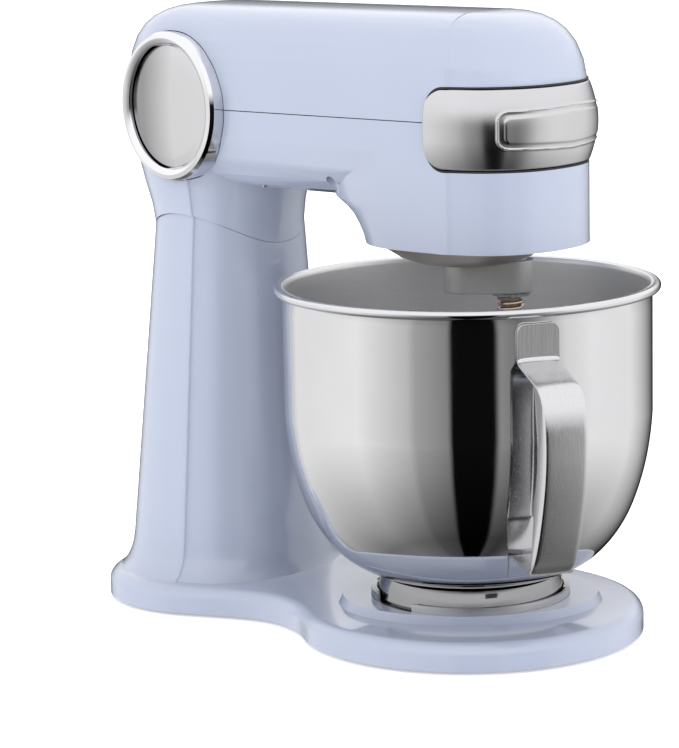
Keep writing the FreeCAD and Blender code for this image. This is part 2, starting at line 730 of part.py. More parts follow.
def make_large_pulley():
    wheel = pulley(LARGE_PULLEY_R, 5.0, PINION_Y)
    for index in range(6):
        x, y = polar(17, 60 * index)
        wheel = wheel.cut(post(5.5, 320, 360, x, PINION_Y + y))
    return wheel


def make_drive_belt():
    """Flat belt round both pulleys, 0.3 mm clear of their grooves."""
    def loop(offset):
        small = SMALL_PULLEY_R - 1.5 + offset
        large = LARGE_PULLEY_R - 1.5 + offset
        span = MOTOR_Y - PINION_Y
        lean = math.acos((large - small) / span)
        a1 = Vec(large * math.sin(lean), PINION_Y + large * math.cos(lean), BELT_LOW)
        a2 = Vec(small * math.sin(lean), MOTOR_Y + small * math.cos(lean), BELT_LOW)
        b1, b2 = Vec(-a1.x, a1.y, a1.z), Vec(-a2.x, a2.y, a2.z)
        far = Part.Arc(a2, Vec(0, MOTOR_Y + small, BELT_LOW), b2).toShape()
        near = Part.Arc(b1, Vec(0, PINION_Y - large, BELT_LOW), a1).toShape()
        wire = Part.Wire([Part.makeLine(a1, a2), far, Part.makeLine(b2, b1), near])
        return Part.Face(wire).extrude(Vec(0, 0, BELT_HIGH - BELT_LOW))
    return loop(GAP + 1.6).cut(loop(GAP))


# ---- gearbox and planetary ------------------------------------------------------------------
def make_pinion_shaft():
    return post(5.0, 248.2, 347, 0, PINION_Y)


def make_pinion():
    teeth = gear(PINION_TEETH, SPUR_MODULE, 257, 268.5, -math.pi / 2)
    teeth.translate(Vec(0, PINION_Y, 0))
    return teeth.cut(post(5, 250, 275, 0, PINION_Y))


def make_main_gear():
    half_tooth = math.pi / MAIN_TEETH
    wheel = gear(MAIN_TEETH, SPUR_MODULE, 258, 267.5, math.pi / 2 + half_tooth)
    for index in range(6):
        x, y = polar(22, 60 * index)
        wheel = wheel.cut(post(6.5, 250, 270, x, y))
    return wheel.cut(post(7, 250, 270))


def make_main_shaft():
    return post(7, 226, 283).fuse(post(9, 254.2, 258))


def make_gearbox_cover():
    """Bridge over the gears that carries both upper bearings."""
    bridge = box(-16, 16, -18, 62, 274, 278).fuse(post(18, 274, 284)).fuse(
        post(13, 274, 284, 0, PINION_Y))
    for x, y in GEARBOX_LEGS:
        bridge = bridge.fuse(post(5, 248, 278, x, y))
    bridge = bridge.fuse(box(-47, 47, -5, 5, 274, 278)).fuse(box(-5, 5, 0, 58, 274, 278))
    bridge = bridge.cut(post(13, 276, 290)).cut(post(9, 270, 290))
    bridge = bridge.cut(post(8, 276, 290, 0, PINION_Y)).cut(post(6.5, 270, 290, 0, PINION_Y))
    for x, y in GEARBOX_LEGS:
        bridge = bridge.cut(post(1.6, 268, 280, x, y))
    return bridge


GEARBOX_LEGS = [(-44, 0), (44, 0)]


def make_ball_bearings():
    """Two bearings each for the main shaft, the pinion shaft and the motor shaft."""
    return Part.makeCompound([
        bearing(13, 7 + RUN, 246, 254), bearing(13, 7 + RUN, 276, 284),
        bearing(8, 5 + RUN, 248, 254, 0, PINION_Y), bearing(8, 5 + RUN, 276, 284, 0, PINION_Y),
        bearing(8, 4 + RUN, 265.6, 270, 0, MOTOR_Y), bearing(8, 4 + RUN, 320, 328.4, 0, MOTOR_Y)])


def planet_turn():
    return math.atan2(PLANET_DIR.y, PLANET_DIR.x)


def make_ring_gear():
    """Fixed internal gear under the nose's deck."""
    space = gear_face(RING_TEETH, RING_MODULE, 1.15, 0.85, 0.54,
                      planet_turn(), 232.5).extrude(Vec(0, 0, 12.5))
    ring = post(44, 233, 244).cut(space)
    for angle in RING_SCREW_ANGLES:
        x, y = polar(40.5, angle)
        ring = ring.cut(post(1.7, 230, 246, x, y)).cut(post(3.0, 230, 235.4, x, y))
    return ring


def make_drive_screws():
    """Screws of the ring gear, the gearbox bridge and the motor mount."""
    ring = [screw(*polar(40.5, angle), 235.4, 11.5, r=1.3, head_r=2.8, head_h=1.8)
            for angle in RING_SCREW_ANGLES]
    bridge = [screw(x, y, 278, 9, upward=False) for x, y in GEARBOX_LEGS]
    mount = [screw(x, y, 265.5, 12, upward=False) for x, y in MOTOR_POSTS]
    return Part.makeCompound(ring + bridge + mount)


def planet_at(shape):
    shape.translate(PLANET_DIR * PLANET_OFFSET)
    return shape


def make_planet_gear():
    teeth = gear(PLANET_TEETH, RING_MODULE, 233.6, 242.6, planet_turn())
    return planet_at(teeth.cut(post(SHAFT_R, 230, 250)))


DISH_R = 49.6
HUB_R = 13.2


def make_carrier_dish():
    """Shallow dome that closes the nose and turns with the hub."""
    dish = turned([(0, 214.5), (16, 214.9), (28, 216.7), (38, 220.2), (45, 224.6), (48.6, 227.8),
                   (DISH_R, 229.4), (DISH_R, 231.2), (47.8, 231.2), (44, 228.0), (36.6, 223.2),
                   (27, 219.8), (16, 218.1), (0, 217.7)])
    return dish.cut(stadium(HUB_R, 205, 235, PLANET_OFFSET))


def stadium(r, z0, z1, reach):
    """Round-ended bar from the mixing axis to the beater shaft."""
    tip = PLANET_DIR * reach
    side = Vec(-PLANET_DIR.y, PLANET_DIR.x, 0) * r
    near = Vec(0, 0, z0)
    far = near + tip
    back = near - PLANET_DIR * r
    front = far + PLANET_DIR * r
    wire = Part.Wire([
        Part.makeLine(near + side, far + side),
        Part.Arc(far + side, front, far - side).toShape(),
        Part.makeLine(far - side, near - side),
        Part.Arc(near - side, back, near + side).toShape()])
    return Part.Face(wire).extrude(Vec(0, 0, z1 - z0))


def make_carrier_hub():
    """Cast hub: carries the beater shaft and is fixed to the main shaft."""
    block = stadium(HUB_R, 198.5, 217, PLANET_OFFSET)
    lower = [e for e in block.Edges if e.BoundBox.ZMax < 198.6]
    block = block.makeFillet(1.2, lower)
    place = PLANET_DIR * PLANET_OFFSET
    block = block.fuse(post(10, 205, 231.4)).fuse(post(9.5, 205, 231.4, place.x, place.y))
    return block.cut(post(7, 222, 240)).cut(post(7.5, 190, 240, place.x, place.y))


def make_carrier_bushes():
    place = PLANET_DIR * PLANET_OFFSET
    return Part.makeCompound([tube(7.5, SHAFT_R + RUN, low, high, place.x, place.y)
                              for low, high in ((198.6, 210), (219.5, 231.4))])


def make_beater_shaft():
    shaft = turned([(0, 150), (4.6, 150), (SHAFT_R, 151.5), (SHAFT_R, 243.4), (0, 243.4)])
    shaft = shaft.cut(rod_x(1.6, -10, 10, 0, 160))
    shaft = shaft.fuse(tube(7.4, SHAFT_R - 0.1, 231.9, 233.6))
    return planet_at(shaft)


def make_beater_pin():
    return planet_at(rod_x(1.6, -9.5, 9.5, 0, 160))


def make_shaft_washer():
    return planet_at(tube(11.0, SHAFT_R, 196.4, 198.0))


def make_beater_collar():
    """Sprung collar that holds a beater down on the drive pin."""
    collar = turned([(SHAFT_R + RUN, 172), (11, 172), (13, 173.6), (13, 175.2), (8.6, 176.4),
                     (SHAFT_R + RUN, 176.4)])
    return planet_at(collar)


def make_beater_spring():
    """Compression spring between the washer and the collar, drawn as its closed sleeve."""
    return planet_at(tube(7.6, SHAFT_R + 0.5, 176.8, 196.0))


# ---- head lock ------------------------------------------------------------------------------
def make_release_lever():
    """Rocking lever: a thumb tab behind the head, and an arm that lifts the latch pin."""
    tab = box(-8.5, 8.5, 224, LEVER_END_Y, 252, 261)
    ends = [e for e in tab.Edges if e.BoundBox.YMin > LEVER_END_Y - 0.5]
    tab = tab.makeFillet(2.5, ends)
    web = box(-8.5, 8.5, 211, 230, 253, 259)
    arm = box(-8.5, 22.6, 200, 211.5, 253, 257)
    lever = tab.fuse(web).fuse(arm).fuse(rod_x(4.5, -8.5, 8.5, LEVER_PIVOT_Y, LEVER_PIVOT_Z))
    lever = lever.cut(rod_x(2.0 + RUN, -20, 20, LEVER_PIVOT_Y, LEVER_PIVOT_Z))
    return lever.cut(post(2.4, 240, 262, LATCH_X, LATCH_Y))


def make_latch_pin():
    tip = HINGE_Z + math.sqrt(CROWN_R ** 2 - (LATCH_Y - HINGE_Y) ** 2) + 1.5
    return post(2.4, tip, 257, LATCH_X, LATCH_Y).fuse(post(4, 257, 258.4, LATCH_X, LATCH_Y))


def make_lever_pivot():
    return rod_x(2.0, -13.3, 13.3, LEVER_PIVOT_Y, LEVER_PIVOT_Z)


# ---- electronics ----------------------------------------------------------------------------
def make_control_board():
    board = box(-28, 28, 207, 208.6, 268, 330)
    for x, z, size in ((-16, 284, 9), (10, 290, 12), (-8, 312, 11), (16, 316, 8)):
        board = board.fuse(box(x - size / 2, x + size / 2, 208.6, 208.6 + size / 2,
                               z - size / 2, z + size / 2))
    return board


# ---- bowl -----------------------------------------------------------------------------------
def bowl_profile(inset):
    """Bowl wall in the x-z plane, from the middle of the floor to the straight upper wall."""
    points = [(47, 36.0), (62, 40.4), (73.5, 47.6), (83, 57.5), (91, 70.0), (97.3, 85.5),
              (102.5, 105.5), (BOWL_R, 130)]
    return [Vec(max(0, r - inset * 0.8), 0, z + inset * max(0.0, (130 - z) / 94))
            for r, z in points]


def bowl_solid(inset, top):
    points = bowl_profile(inset)
    low = points[0]
    side = points[-1]
    edges = [
        Part.makeLine(Vec(0, 0, low.z), low),
        curve(points, ACROSS, UP),
        Part.makeLine(side, Vec(side.x, 0, top)),
        Part.makeLine(Vec(side.x, 0, top), Vec(0, 0, top)),
        Part.makeLine(Vec(0, 0, top), Vec(0, 0, low.z))]
    return Part.Face(Part.Wire(edges)).revolve(Vec(0, 0, 0), UP, 360)


def make_bowl_shell():
    shell = bowl_solid(0, BOWL_RIM_Z - 2).cut(bowl_solid(BOWL_WALL, BOWL_RIM_Z))
    bead = Part.makeTorus(BOWL_R + 2.6, 2.4, Vec(0, 0, BOWL_RIM_Z - 2.4), UP)
    lip = tube(BOWL_R + 2.0, BOWL_R - BOWL_WALL, BOWL_RIM_Z - 4.4, BOWL_RIM_Z - 1.0)
    return union([shell, bead, lip])


def make_bowl_foot():
    """Foot ring with two bayonet lugs."""
    ring = turned([(46.5, 36.0), (46.5, 34.6), (49.2, 34.0), (51.0, 30.5), (52.0, 26.0),
                   (52.6, 24.0), (51.4, FOOT_Z), (53.0, FOOT_Z), (54.2, 24.0), (53.4, 27.5),
                   (52.6, 31.0), (50.8, 35.2), (48.5, 36.0)])
    for angle in LUG_ANGLES:
        ring = ring.fuse(sector(55.6, 52.8, 23.4, 25.2, angle, LUG_SWEEP))
    return ring


def handle_point(r, z, side=0.0):
    across = Vec(-HANDLE_DIR.y, HANDLE_DIR.x, 0)
    return HANDLE_DIR * r + across * side + UP * z


def handle_face(points, side):
    corners = [handle_point(r, z, side) for r, z in points]
    return Part.Face(Part.makePolygon(corners + corners[:1]))


def make_bowl_handle():
    """Folded sheet handle: welded top tab, sloping shoulder, bowed grip and foot tab."""
    outer = [(107.1, 196.0), (107.1, 177.5), (140.0, 165.5), (146.4, 146.0), (147.2, 130.0),
             (143.4, 106.0), (135.0, 80.0), (123.5, 60.5), (95.4, 66.5)]
    inner = [(105.4, 196.0), (105.4, 176.2), (137.2, 164.2), (144.6, 145.6), (145.5, 130.2),
             (141.8, 106.4), (133.5, 80.8), (122.6, 62.4), (93.6, 68.2)]
    across = Vec(-HANDLE_DIR.y, HANDLE_DIR.x, 0)
    half = HANDLE_WIDTH / 2
    strip = handle_face(outer + inner[::-1], -half).extrude(across * HANDLE_WIDTH)
    rim_out = outer[3:8]
    rim_in = [(r - 9.0 * w, z + 1.5) for (r, z), w in zip(rim_out, (0.5, 0.9, 1.0, 0.9, 0.4))]
    for side in (-half, half - HANDLE_SHEET):
        flange = handle_face(rim_out + rim_in[::-1], side).extrude(across * HANDLE_SHEET)
        strip = strip.fuse(flange)
    upright = [e for e in strip.Edges if e.BoundBox.ZMin > 190 and e.BoundBox.ZLength < 0.1
               and e.Length < 5]
    tab_foot = handle_face([(95.6, 72.0), (95.6, 66.0), (79.6, 49.5), (78.2, 51.0),
                            (93.8, 67.4), (93.8, 73.0)], -half).extrude(across * HANDLE_WIDTH)
    handle = strip.makeFillet(5.0, upright) if len(upright) == 2 else strip
    return handle.fuse(tab_foot).cut(bowl_solid(0.0, BOWL_RIM_Z))


# ---- write every piece ----------------------------------------------------------------------
PIECES = {
    "pedestal": make_pedestal,
    "bottom_plate": make_bottom_plate,
    "plate_screws": make_plate_screws,
    "rubber_feet": make_feet,
    "bowl_seat": make_bowl_seat,
    "seat_screws": make_seat_screws,
    "hinge_pin": make_hinge_pin,
    "lock_catch": make_lock_catch,
    "cord_bush": make_cord_bush,
    "top_cover": make_top_cover,
    "head_casting": make_head_casting,
    "hinge_bushes": make_hinge_bushes,
    "cover_screws": make_cover_screws,
    "nose_band": make_nose_band,
    "band_gasket": make_band_gasket,
    "port_socket": make_port_socket,
    "side_ring_right": lambda: make_side_ring(-1),
    "side_ring_left": lambda: make_side_ring(1),
    "side_disc": make_side_disc,
    "dial_plate": make_dial_plate,
    "speed_dial": make_speed_dial,
    "dial_shaft": make_dial_shaft,
    "speed_switch": make_speed_switch,
    "motor_mount": make_motor_mount,
    "motor_can": make_motor_can,
    "motor_stator": make_stator,
    "motor_end_bell": make_end_bell,
    "rotor_core": make_rotor_core,
    "commutator": make_commutator,
    "carbon_brushes": make_brushes,
    "motor_shaft": make_motor_shaft,
    "small_pulley": lambda: pulley(SMALL_PULLEY_R, 4.0, MOTOR_Y),
    "large_pulley": make_large_pulley,
    "drive_belt": make_drive_belt,
    "pinion_shaft": make_pinion_shaft,
    "drive_pinion": make_pinion,
    "main_gear": make_main_gear,
    "main_shaft": make_main_shaft,
    "gearbox_cover": make_gearbox_cover,
    "ball_bearings": make_ball_bearings,
    "ring_gear": make_ring_gear,
    "drive_screws": make_drive_screws,
    "planet_gear": make_planet_gear,
    "carrier_dish": make_carrier_dish,
    "carrier_hub": make_carrier_hub,
    "carrier_bushes": make_carrier_bushes,
    "beater_shaft": make_beater_shaft,
    "beater_pin": make_beater_pin,
    "shaft_washer": make_shaft_washer,
    "beater_collar": make_beater_collar,
    "beater_spring": make_beater_spring,
    "release_lever": make_release_lever,
    "latch_pin": make_latch_pin,
    "lever_pivot": make_lever_pivot,
    "control_board": make_control_board,
    "bowl_shell": make_bowl_shell,
    "bowl_foot": make_bowl_foot,
    "bowl_handle": make_bowl_handle,
}


def main():
    os.makedirs("parts", exist_ok=True)
    for name, make in PIECES.items():
        shape = make()
        shape.translate(Vec(0, MIX_Y, 0))
        shape.exportStep("parts/" + name + ".step")
        print(name, len(shape.Solids), round(shape.Volume / 1000, 2), "cm3", shape.isValid())


main()
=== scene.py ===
"""Stand mixer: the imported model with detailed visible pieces, studio light and a camera."""
import bpy
import bmesh
import json
import math
import numpy as np
from mathutils import Matrix, Vector


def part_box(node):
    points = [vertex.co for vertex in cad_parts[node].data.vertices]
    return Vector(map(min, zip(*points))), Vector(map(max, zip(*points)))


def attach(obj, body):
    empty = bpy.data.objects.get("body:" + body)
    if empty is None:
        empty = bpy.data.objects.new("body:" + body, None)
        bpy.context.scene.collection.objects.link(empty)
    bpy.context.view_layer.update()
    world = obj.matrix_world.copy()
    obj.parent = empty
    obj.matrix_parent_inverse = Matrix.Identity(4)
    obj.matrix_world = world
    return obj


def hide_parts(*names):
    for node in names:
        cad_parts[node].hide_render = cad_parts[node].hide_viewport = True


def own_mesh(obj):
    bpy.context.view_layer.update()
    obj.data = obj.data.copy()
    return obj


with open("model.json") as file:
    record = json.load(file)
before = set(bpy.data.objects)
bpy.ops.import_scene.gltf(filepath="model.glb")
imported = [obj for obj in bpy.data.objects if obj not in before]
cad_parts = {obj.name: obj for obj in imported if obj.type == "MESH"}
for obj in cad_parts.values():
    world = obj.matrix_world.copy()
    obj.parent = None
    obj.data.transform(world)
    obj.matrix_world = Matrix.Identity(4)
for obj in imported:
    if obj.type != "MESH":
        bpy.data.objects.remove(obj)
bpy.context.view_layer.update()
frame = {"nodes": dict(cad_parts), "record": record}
MM = 0.001
low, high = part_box("bowl_foot")
MIX = np.array([(low.x + high.x) / 2, (low.y + high.y) / 2, 0.0])   # mixing axis
low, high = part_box("beater_shaft")
SHAFT = np.array([(low.x + high.x) / 2, (low.y + high.y) / 2, 0.0])  # beater shaft's axis


# ---- materials ------------------------------------------------------------------------------
def new_material(name):
    mat = bpy.data.materials.new(name)
    mat.use_nodes = True
    nodes = mat.node_tree.nodes
    nodes.clear()
    out = nodes.new("ShaderNodeOutputMaterial")
    shader = nodes.new("ShaderNodeBsdfPrincipled")
    mat.node_tree.links.new(shader.outputs["BSDF"], out.inputs["Surface"])
    return mat, shader


def add(mat, kind, **inputs):
    """A node with some of its inputs set, or linked where the value is a socket."""
    node = mat.node_tree.nodes.new(kind)
    for key, value in inputs.items():
        socket = node.inputs[key.replace("_", " ")]
        if isinstance(value, bpy.types.NodeSocket):
            mat.node_tree.links.new(value, socket)
        else:
            socket.default_value = value
    return node


def ranged(mat, source, low, high, start=0.3, end=0.7):
    """source, mapped from start..end to low..high."""
    return add(mat, "ShaderNodeMapRange", Value=source, From_Min=start, From_Max=end,
               To_Min=low, To_Max=high).outputs["Result"]


def noise(mat, coords, scale, detail=3.0, rough=0.5):
    return add(mat, "ShaderNodeTexNoise", Vector=coords, Scale=scale, Detail=detail,
               Roughness=rough).outputs["Fac"]


def position(mat):
    return mat.node_tree.nodes.new("ShaderNodeTexCoord").outputs["Object"]


def stretched(mat, coords, scale, centre=(0, 0, 0), turn=(0, 0, 0)):
    shift = add(mat, "ShaderNodeVectorMath", Vector=coords)
    shift.operation = "SUBTRACT"
    shift.inputs[1].default_value = centre
    return add(mat, "ShaderNodeMapping", Vector=shift.outputs[0], Scale=scale,
               Rotation=turn).outputs["Vector"]


def tinted(mat, shader, fac, dark, light):
    ramp = mat.node_tree.nodes.new("ShaderNodeValToRGB")
    ramp.color_ramp.elements[0].color = (*dark, 1)
    ramp.color_ramp.elements[0].position = 0.3
    ramp.color_ramp.elements[1].color = (*light, 1)
    ramp.color_ramp.elements[1].position = 0.7
    mat.node_tree.links.new(fac, ramp.inputs["Fac"])
    mat.node_tree.links.new(ramp.outputs["Color"], shader.inputs["Base Color"])


def bumped(mat, shader, height, strength, distance):
    bump = add(mat, "ShaderNodeBump", Height=height, Strength=strength, Distance=distance)
    mat.node_tree.links.new(bump.outputs["Normal"], shader.inputs["Normal"])


def enamel_material():
    """Gloss paint over metal: a faint orange peel and fine colour drift under a clear coat."""
    mat, shader = new_material("enamel")
    coords = position(mat)
    tinted(mat, shader, noise(mat, coords, 9.0), (0.392, 0.434, 0.553), (0.407, 0.450, 0.571))
    shader.inputs["Metallic"].default_value = 0.0
    mat.node_tree.links.new(ranged(mat, noise(mat, coords, 160.0), 0.20, 0.27),
                            shader.inputs["Roughness"])
    shader.inputs["Coat Weight"].default_value = 0.85
    shader.inputs["Coat Roughness"].default_value = 0.05
    bumped(mat, shader, noise(mat, coords, 420.0, 1.0), 0.05, 0.0002)
    return mat


def polished_material(name, tone, rough=0.05, marks=0.04):
    """Polished metal with faint smudges."""
    mat, shader = new_material(name)
    coords = position(mat)
    tinted(mat, shader, noise(mat, coords, 30.0), tuple(c * 0.97 for c in tone), tone)
    shader.inputs["Metallic"].default_value = 1.0
    mat.node_tree.links.new(ranged(mat, noise(mat, coords, 55.0, 6.0), rough, rough + marks),
                            shader.inputs["Roughness"])
    bumped(mat, shader, noise(mat, coords, 700.0, 2.0), 0.03, 0.0001)
    return mat


def brushed_material(name, tone, scale, rough=0.28, depth=0.12, centre=(0, 0, 0),
                     turn=(0, 0, 0), spread=0.12):
    """Metal brushed along the axis with the smallest scale."""
    mat, shader = new_material(name)
    coords = stretched(mat, position(mat), scale, centre, turn)
    lines = noise(mat, coords, 1.0, 4.0, 0.65)
    tinted(mat, shader, lines, tuple(c * (1 - spread) for c in tone), tone)
    shader.inputs["Metallic"].default_value = 1.0
    mat.node_tree.links.new(ranged(mat, lines, rough - 0.07, rough + 0.07),
                            shader.inputs["Roughness"])
    bumped(mat, shader, lines, depth, 0.0002)
    return mat


def ringed_material(name, tone, centre, normal, rough=0.24):
    """Metal turned on a lathe: fine rings about the normal through centre."""
    mat, shader = new_material(name)
    to_axis = Vector(normal).to_track_quat("Z", "Y").to_matrix().transposed().to_euler()
    coords = stretched(mat, position(mat), (1, 1, 1), centre, tuple(to_axis))
    split = add(mat, "ShaderNodeSeparateXYZ", Vector=coords)
    radius = add(mat, "ShaderNodeVectorMath",
                 Vector=add(mat, "ShaderNodeCombineXYZ", X=split.outputs["X"],
                            Y=split.outputs["Y"]).outputs[0])
    radius.operation = "LENGTH"
    place = add(mat, "ShaderNodeCombineXYZ", X=radius.outputs["Value"]).outputs[0]
    lines = noise(mat, place, 2600.0, 3.0, 0.7)
    tinted(mat, shader, lines, tuple(c * 0.9 for c in tone), tone)
    shader.inputs["Metallic"].default_value = 1.0
    shader.inputs["Anisotropic"].default_value = 0.3
    mat.node_tree.links.new(ranged(mat, lines, rough - 0.05, rough + 0.06),
                            shader.inputs["Roughness"])
    bumped(mat, shader, lines, 0.06, 0.0001)
    return mat


def cast_material(name, tone, metallic=1.0, rough=0.42, grain=900.0, depth=0.25):
    """Fine-grained casting, moulding or rubber."""
    mat, shader = new_material(name)
    coords = position(mat)
    tinted(mat, shader, noise(mat, coords, 60.0, 5.0), tuple(c * 0.88 for c in tone), tone)
    shader.inputs["Metallic"].default_value = metallic
    mat.node_tree.links.new(ranged(mat, noise(mat, coords, 240.0), rough - 0.06, rough + 0.08),
                            shader.inputs["Roughness"])
    bumped(mat, shader, noise(mat, coords, grain, 3.0), depth, 0.0002)
    return mat


def shaded(mat, value, start, end, dark):
    """Painted reflection: darkens a finish's base colour towards start, standing in for the fan of
    light on a turned disc.
    """
    shader = next(n for n in mat.node_tree.nodes if n.bl_idname == "ShaderNodeBsdfPrincipled")
    # Painted shade level: dark at start, full base colour at end.
    level = ranged(mat, value, dark, 1.0, start, end)
    fan = add(mat, "ShaderNodeVectorMath",
              Vector=shader.inputs["Base Color"].links[0].from_socket)
    fan.operation = "SCALE"
    mat.node_tree.links.new(level, fan.inputs["Scale"])
    mat.node_tree.links.new(fan.outputs[0], shader.inputs["Base Color"])


# ---- mesh helpers ---------------------------------------------------------------------------
SMOOTH_BELOW = math.radians(35)


def mesh_piece(name, points, faces, material, body, replaced):
    """A piece from points in millimetres, shaded smooth, riding on a CAD body."""
    mesh = bpy.data.meshes.new(name)
    mesh.from_pydata([tuple(p) for p in np.asarray(points) * MM], [], faces)
    mesh.validate()
    work = bmesh.new()
    work.from_mesh(mesh)
    bmesh.ops.remove_doubles(work, verts=work.verts, dist=1e-6)
    bmesh.ops.recalc_face_normals(work, faces=work.faces)
    for edge in work.edges:
        edge.smooth = len(edge.link_faces) != 2 or edge.calc_face_angle(0) < SMOOTH_BELOW
    for face in work.faces:
        face.smooth = True
    work.to_mesh(mesh)
    work.free()
    obj = bpy.data.objects.new(name, mesh)
    bpy.context.scene.collection.objects.link(obj)
    mesh.materials.append(material)
    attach(obj, body)
    if replaced:
        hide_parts(*replaced)
    return obj


def grid_faces(rows, columns, wrap_rows=False, wrap_columns=False):
    faces = []
    for i in range(rows if wrap_rows else rows - 1):
        for j in range(columns if wrap_columns else columns - 1):
            a, b = i * columns + j, i * columns + (j + 1) % columns
            c, d = ((i + 1) % rows) * columns + (j + 1) % columns, ((i + 1) % rows) * columns + j
            faces.append((a, b, c, d))
    return faces


def smooth_line(points, count, power=0.5):
    """Centripetal Catmull-Rom curve through points, sampled at count evenly spaced places."""
    p = np.asarray(points, float)
    p = np.vstack([2 * p[0] - p[1], p, 2 * p[-1] - p[-2]])
    out = []
    for k in range(1, len(p) - 2):
        quad = p[k - 1:k + 3]
        t = [0.0]
        for a, b in zip(quad, quad[1:]):
            t.append(t[-1] + max(1e-6, np.linalg.norm(b - a)) ** power)
        for s in np.linspace(t[1], t[2], 24, endpoint=False):
            level = list(quad)
            for depth in range(1, 4):
                nxt = []
                for i in range(4 - depth):
                    lo, hi = (t[1], t[2]) if depth == 3 else (t[i], t[i + depth])
                    nxt.append(((hi - s) * level[i] + (s - lo) * level[i + 1]) / (hi - lo))
                level = nxt
            out.append(level[0])
    out.append(p[-2])
    out = np.array(out)
    run = np.concatenate([[0], np.cumsum(np.linalg.norm(np.diff(out, axis=0), axis=1))])
    places = np.linspace(0, run[-1], count)
    return np.column_stack([np.interp(places, run, out[:, i]) for i in range(out.shape[1])])


def lathe(profile, centre, steps=240):
    """Points and faces of a surface turned about a vertical axis through centre, in mm."""
    turns = np.linspace(0, 2 * math.pi, steps, endpoint=False)
    points = [(centre[0] + r * math.cos(a), centre[1] + r * math.sin(a), z)
              for a in turns for r, z in profile]
    return points, grid_faces(steps, len(profile), wrap_rows=True)


def tube_along(path, radius, sides):
    """Points and faces of a round tube along a path in mm, with flat ends."""
    path = np.asarray(path, float)
    ahead = np.vstack([path[1:], 2 * path[-1] - path[-2]])
    behind = np.vstack([2 * path[0] - path[1], path[:-1]])
    along = ahead - behind
    along /= np.linalg.norm(along, axis=1)[:, None]
    reference = np.array([0.0, 0.0, 1.0])
    side = np.cross(along, reference)
    side /= np.maximum(1e-9, np.linalg.norm(side, axis=1))[:, None]
    lift = np.cross(side, along)
    turns = np.linspace(0, 2 * math.pi, sides, endpoint=False)
    points = [p + radius * (math.cos(a) * s + math.sin(a) * u)
              for p, s, u in zip(path, side, lift) for a in turns]
    faces = grid_faces(len(path), sides, wrap_columns=True)
    faces.append(tuple(range(sides))[::-1])
    faces.append(tuple((len(path) - 1) * sides + i for i in range(sides)))
    return points, faces


def mm(vector):
    return np.array(vector) / MM


def smooth_copy(node, material, body, angle=28.0):
    """The CAD node's own shape with its corners kept and its facets shaded smooth."""
    source = frame["nodes"][node]
    mesh = source.data.copy()
    mesh.name = node + "_smooth"
    work = bmesh.new()
    work.from_mesh(mesh)
    bmesh.ops.remove_doubles(work, verts=work.verts, dist=2e-5)
    bmesh.ops.dissolve_degenerate(work, edges=work.edges, dist=1e-6)
    for edge in work.edges:
        edge.smooth = len(edge.link_faces) == 2 and edge.calc_face_angle(0) < math.radians(angle)
    for face in work.faces:
        face.smooth = True
    work.to_mesh(mesh)
    work.free()
    if mesh.attributes.get("custom_normal"):
        mesh.attributes.remove(mesh.attributes["custom_normal"])
    mesh.materials.clear()
    mesh.materials.append(material)
    obj = bpy.data.objects.new(node + "_finish", mesh)
    bpy.context.scene.collection.objects.link(obj)
    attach(obj, body)
    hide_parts(node)
    return obj


# ---- finishes for every CAD node --------------------------------------------------------------
MIX_MM = mm(MIX)
SHAFT_MM = mm(SHAFT)
enamel = enamel_material()
chrome = polished_material("chrome", (0.80, 0.80, 0.81))
side_low, side_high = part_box("side_disc")
side_centre = (side_low + side_high) / 2
satin = ringed_material("satin", (0.66, 0.66, 0.67), side_centre,
                        (-math.cos(math.radians(10)), math.sin(math.radians(10)), 0), 0.17)
# Painted reflection on the side disc: its base colour darkens towards the rear (+Y), standing in
# for the fan of light a turned disc shows.
across_disc = add(satin, "ShaderNodeSeparateXYZ", Vector=position(satin)).outputs["Y"]
shaded(satin, across_disc, side_centre[1] + 0.024, side_centre[1] - 0.004, 0.48)
dial_low, dial_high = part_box("dial_plate")
dial_centre = (dial_low + dial_high) / 2
DIAL_NORMAL = Vector((math.cos(math.radians(10)), math.sin(math.radians(10)), 0))
plate_satin = ringed_material("plate_satin", (0.66, 0.66, 0.67), dial_centre, DIAL_NORMAL)
knob_metal = ringed_material("knob_metal", (0.62, 0.62, 0.63), dial_centre, DIAL_NORMAL, 0.2)
steel = brushed_material("steel", (0.56, 0.56, 0.57), (900, 900, 60))
seat_steel = ringed_material("seat_steel", (0.55, 0.55, 0.56), MIX, (0, 0, 1))
shaft_steel = brushed_material("shaft_steel", (0.46, 0.40, 0.35), (60, 60, 2200), 0.24)
cast_grey = cast_material("cast_grey", (0.60, 0.60, 0.595), 0.8)
dish_metal = ringed_material("dish", (0.56, 0.53, 0.495), MIX, (0, 0, 1), 0.38)
black_rubber = cast_material("black_rubber", (0.022, 0.022, 0.024), 0.0, 0.6, 1400.0)
dark_plastic = cast_material("dark_plastic", (0.05, 0.045, 0.042), 0.0, 0.38, 1800.0, 0.12)
grey_plastic = cast_material("grey_plastic", (0.11, 0.115, 0.125), 0.0, 0.36, 1500.0, 0.12)
board_green = cast_material("board_green", (0.03, 0.16, 0.06), 0.0, 0.4)
bronze = cast_material("bronze", (0.60, 0.40, 0.20), 1.0, 0.38)
bowl_polish = polished_material("bowl_polish", (0.70, 0.70, 0.71), 0.035, 0.03)
bowl_brushed = brushed_material("bowl_brushed", (0.84, 0.84, 0.845), (18, 18, 2600), 0.38, 0.07,
                                MIX, spread=0.07)
HANDLE_AZIMUTH = math.atan2(-0.854, -0.521)
handle_steel = brushed_material("handle_steel", (0.70, 0.70, 0.71), (1600, 1600, 45), 0.22, 0.08,
                                MIX, (0, 0, -HANDLE_AZIMUTH))

